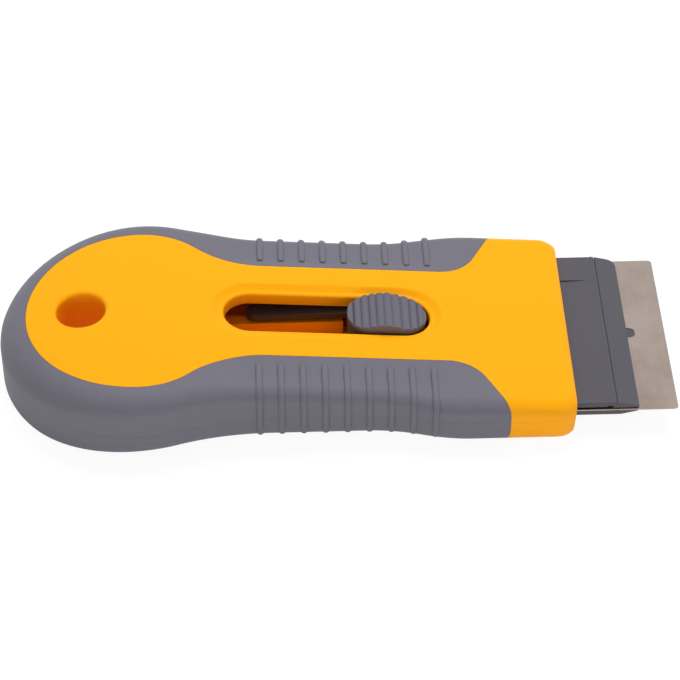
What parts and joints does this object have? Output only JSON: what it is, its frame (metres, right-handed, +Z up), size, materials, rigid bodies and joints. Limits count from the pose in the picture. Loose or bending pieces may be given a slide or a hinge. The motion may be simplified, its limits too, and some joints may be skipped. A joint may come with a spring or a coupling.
{
  "type": "ceramic hob scraper",
  "caption": "hand scraper for glass ceramic hobs with a soft grip, a hanging hole and a blade carrier that a thumb button slides out of the flat handle",
  "frame": {"origin": "on the rest plane, under the axis of the hanging hole", "axes": "+X points from the hanging hole to the blade, +Z points up through the thumb button, +Y completes the frame across the handle"},
  "size_m": [0.1213, 0.0502, 0.0142],
  "materials": {
    "hard_plastic": "smooth moulded, satin",
    "soft_grip": "soft matte overmould",
    "soft_pad": "soft matte, ribbed",
    "grey_plastic": "fine moulded, matte",
    "blade_steel": "brushed across the cutting edge",
    "screw_steel": "zinc plated"
  },
  "bodies": {
    "handle": {"upper_shell": "hard_plastic", "lower_shell": "hard_plastic", "upper_grip": "soft_grip", "lower_grip": "soft_grip", "shell_screws": "screw_steel"},
    "carrier": {"carrier_base": "grey_plastic", "carrier_cover": "grey_plastic", "scraper_blade": "blade_steel"},
    "thumb": {"thumb_slider": "grey_plastic", "thumb_pad": "soft_pad"}
  },
  "joints": [
    {"name": "carrier_slide", "type": "slide", "parent": "handle", "child": "carrier", "axis": [1, 0, 0], "range_m": [-0.022, 0]},
    {"name": "thumb_press", "type": "hinge", "parent": "carrier", "child": "thumb", "pos_m": [0.0305, 0, 0.007], "axis": [0, 1, 0], "range_deg": [0, 2.4], "stiffness_Nm_per_rad": 1.2, "springref_deg": -1.15}
  ]
}
